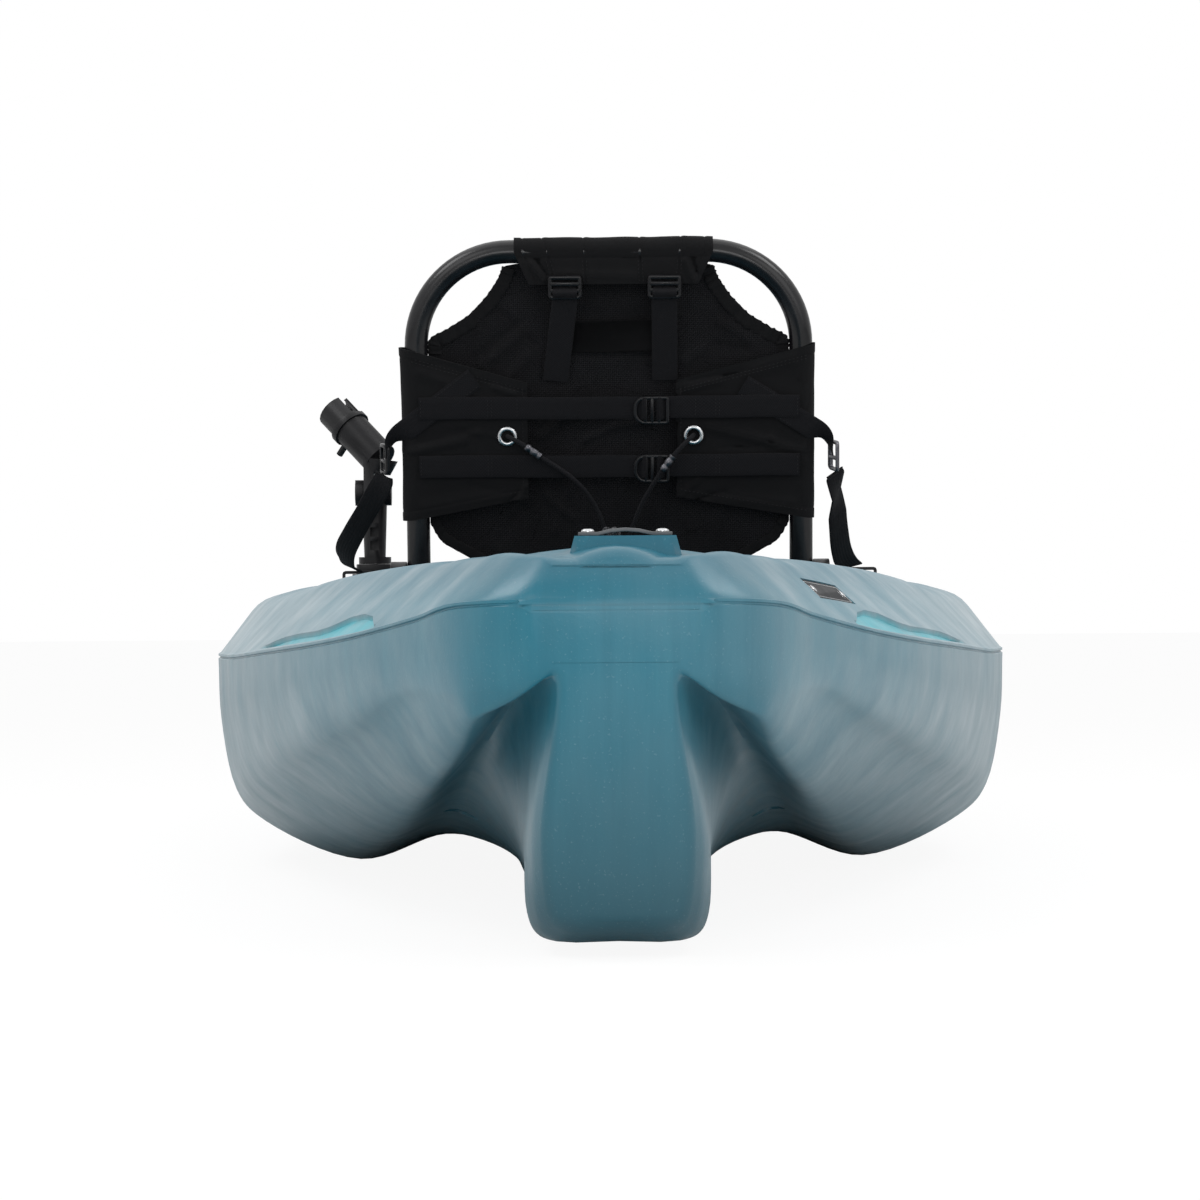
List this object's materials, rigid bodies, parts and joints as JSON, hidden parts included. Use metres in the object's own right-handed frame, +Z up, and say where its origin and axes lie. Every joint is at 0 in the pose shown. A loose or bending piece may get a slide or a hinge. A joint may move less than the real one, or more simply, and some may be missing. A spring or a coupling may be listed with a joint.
{
  "type": "fishing kayak",
  "caption": "Sit-on-top fishing kayak with a folding frame seat, sliding foot pegs, gear tracks and a tilting rod holder.",
  "frame": {"origin": "on the ground under the middle of the hull", "axes": "+X to starboard, +Y to the bow, +Z up"},
  "size_m": [0.889, 3.505, 0.6866],
  "materials": {
    "hull": "satin rotomoulded polyethylene, blue-green with streaks",
    "black_plastic": "black moulded plastic",
    "tube": "black coated aluminium tube",
    "mesh": "black woven mesh",
    "webbing": "black woven webbing and coated cloth",
    "rubber": "black rubber",
    "steel": "bright metal",
    "strap_grey": "grey moulded strap"
  },
  "bodies": {
    "kayak": {"hull": "hull", "id_plate": "black_plastic", "stern_handle": "strap_grey", "stern_handle_screw_port": "steel", "stern_handle_screw_starboard": "steel", "bow_handle": "strap_grey", "bow_handle_screw_port": "steel", "bow_handle_screw_starboard": "steel", "deck_cord": "webbing", "gear_track_port": "black_plastic", "gear_track_starboard": "black_plastic", "strap_anchor_port": "black_plastic", "strap_anchor_starboard": "black_plastic", "foot_rail_port": "black_plastic", "foot_rail_starboard": "black_plastic"},
    "drain_plug": {"drain_plug": "black_plastic"},
    "foot_peg_port": {"foot_peg_port": "black_plastic"},
    "foot_peg_starboard": {"foot_peg_starboard": "black_plastic"},
    "seat_base": {"seat_base_frame": "tube", "seat_base_sling": "mesh", "leg_hoop_rear": "tube", "leg_hoop_front": "tube", "seat_foot_rear_port": "rubber", "seat_foot_rear_starboard": "rubber", "seat_foot_front_port": "rubber", "seat_foot_front_starboard": "rubber", "hinge_bolt_port": "black_plastic", "hinge_bolt_starboard": "black_plastic", "side_strap_port": "webbing", "side_strap_starboard": "webbing"},
    "seat_back": {"seat_back_frame": "tube", "seat_back_sling": "mesh", "seat_back_flap_port": "webbing", "seat_back_flap_starboard": "webbing", "grommet_port": "steel", "grommet_starboard": "steel", "seat_back_sleeve": "webbing", "riser_strap_port": "webbing", "riser_strap_starboard": "webbing", "riser_buckle_port": "black_plastic", "riser_buckle_starboard": "black_plastic", "lumbar_strap_lower": "webbing", "lumbar_strap_upper": "webbing", "lumbar_buckle_lower": "black_plastic", "lumbar_buckle_upper": "black_plastic", "lumbar_cord": "webbing", "side_buckle_port": "black_plastic", "side_buckle_starboard": "black_plastic"},
    "rod_holder_base": {"rod_holder_base": "black_plastic"},
    "rod_holder_post": {"rod_holder_post": "black_plastic"},
    "rod_holder_head": {"rod_holder_head": "black_plastic"},
    "rod_holder_knob": {"rod_holder_knob": "black_plastic"}
  },
  "joints": [
    {"name": "seat_lift", "type": "slide", "parent": "kayak", "child": "seat_base", "axis": [0, 0, 1], "range_m": [0, 0.1]},
    {"name": "seat_back_fold", "type": "hinge", "parent": "seat_base", "child": "seat_back", "pos_m": [0, -0.262, 0.3], "axis": [-1, 0, 0], "range_deg": [-10, 78], "deforming": ["side_strap_port", "side_strap_starboard"]},
    {"name": "foot_peg_port_slide", "type": "slide", "parent": "kayak", "child": "foot_peg_port", "axis": [0, 1, 0], "range_m": [-0.12, 0.16]},
    {"name": "foot_peg_starboard_slide", "type": "slide", "parent": "kayak", "child": "foot_peg_starboard", "axis": [0, 1, 0], "range_m": [-0.12, 0.16]},
    {"name": "rod_holder_slide", "type": "slide", "parent": "kayak", "child": "rod_holder_base", "axis": [0, 1, 0], "range_m": [-0.14, 0.2]},
    {"name": "rod_holder_swivel", "type": "hinge", "parent": "rod_holder_base", "child": "rod_holder_post", "pos_m": [-0.275, 0.15, 0.3364], "axis": [0, 0, 1], "continuous": true},
    {"name": "rod_holder_tilt", "type": "hinge", "parent": "rod_holder_post", "child": "rod_holder_head", "pos_m": [-0.275, 0.15, 0.42], "axis": [1, 0, 0], "range_deg": [-45, 60]},
    {"name": "tilt_knob_turn", "type": "hinge", "parent": "rod_holder_post", "child": "rod_holder_knob", "pos_m": [-0.2926, 0.15, 0.42], "axis": [-1, 0, 0], "range_deg": [-180, 180]},
    {"name": "drain_plug_pull", "type": "slide", "parent": "kayak", "child": "drain_plug", "axis": [0, 0, 1], "range_m": [0, 0.03]}
  ]
}
